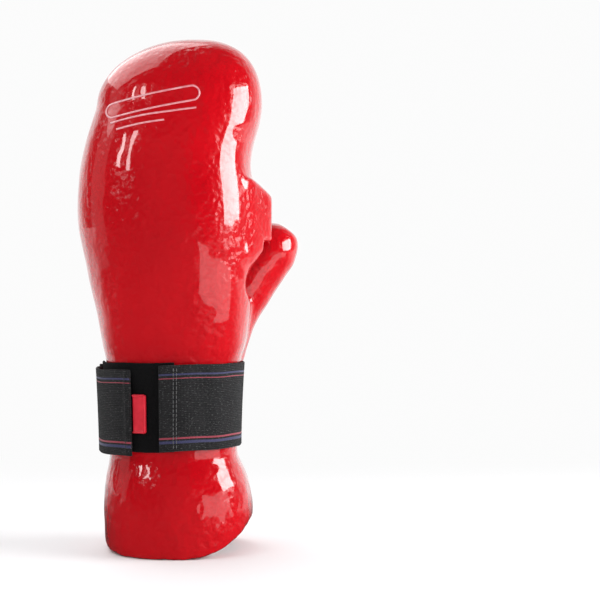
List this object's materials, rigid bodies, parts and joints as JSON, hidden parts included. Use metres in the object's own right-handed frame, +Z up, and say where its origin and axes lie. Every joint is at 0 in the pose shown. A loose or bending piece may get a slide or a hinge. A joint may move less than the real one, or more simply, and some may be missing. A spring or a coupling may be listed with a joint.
{
  "type": "open-palm foam sparring glove",
  "caption": "Left-hand open-palm foam sparring glove: glossy dipped shell with fingertip cup, thumb channel, long cuff and a hook-and-loop wrist strap.",
  "frame": {"origin": "under the middle of the glove, at the height of the cuff rim it stands on", "axes": "+Z up from the cuff to the fingertips, -Y the back of the hand, +Y the open palm, +X the thumb side"},
  "size_m": [0.1296, 0.0884, 0.303],
  "materials": {
    "dipped_foam": "thick glossy vinyl skin dipped over foam, with fine orange-peel",
    "elastic_webbing": "ribbed woven elastic with two fine stripes",
    "lining_fabric": "brushed stretch fabric",
    "loop_pile": "looped pile",
    "hook_tape": "moulded hooks",
    "tab_rubber": "satin moulded rubber"
  },
  "bodies": {
    "hand": {"hand_shell": "dipped_foam", "hand_lining": "lining_fabric", "palm_band": "elastic_webbing", "palm_band_patch_little": "lining_fabric", "palm_band_patch_thumb": "lining_fabric", "pile_strip": "loop_pile", "strap_wrap": "elastic_webbing"},
    "fingers": {"finger_shell": "dipped_foam", "finger_lining": "lining_fabric", "little_finger_loop": "elastic_webbing", "ring_finger_loop": "elastic_webbing", "middle_finger_loop": "elastic_webbing", "index_finger_loop": "elastic_webbing", "finger_loop_anchor": "lining_fabric"},
    "thumb": {"thumb_shell": "dipped_foam", "thumb_loop": "elastic_webbing"},
    "strap_end": {"strap_flap": "elastic_webbing", "hook_patch": "hook_tape"},
    "tab": {"pull_tab": "tab_rubber"}
  },
  "joints": [
    {"name": "finger_flex", "type": "hinge", "parent": "hand", "child": "fingers", "pos_m": [-0.0118, -0.04317, 0.228], "axis": [-1, 0, 0], "range_deg": [0, 15], "stiffness_Nm_per_rad": 1.2},
    {"name": "thumb_flex", "type": "hinge", "parent": "hand", "child": "thumb", "pos_m": [0.0367, 0.02383, 0.118], "axis": [0, 1, 0], "range_deg": [0, 20], "stiffness_Nm_per_rad": 0.3},
    {"name": "strap_opening", "type": "hinge", "parent": "hand", "child": "strap_end", "pos_m": [-0.05225, 0.00998, 0.084], "axis": [0.0406, -0.0027, -0.9992], "range_deg": [0, 110]},
    {"name": "tab_lift", "type": "hinge", "parent": "strap_end", "child": "tab", "pos_m": [-0.02813, -0.03297, 0.083], "axis": [0.0198, 0.0212, -0.9996], "range_deg": [0, 60], "stiffness_Nm_per_rad": 0.004}
  ]
}
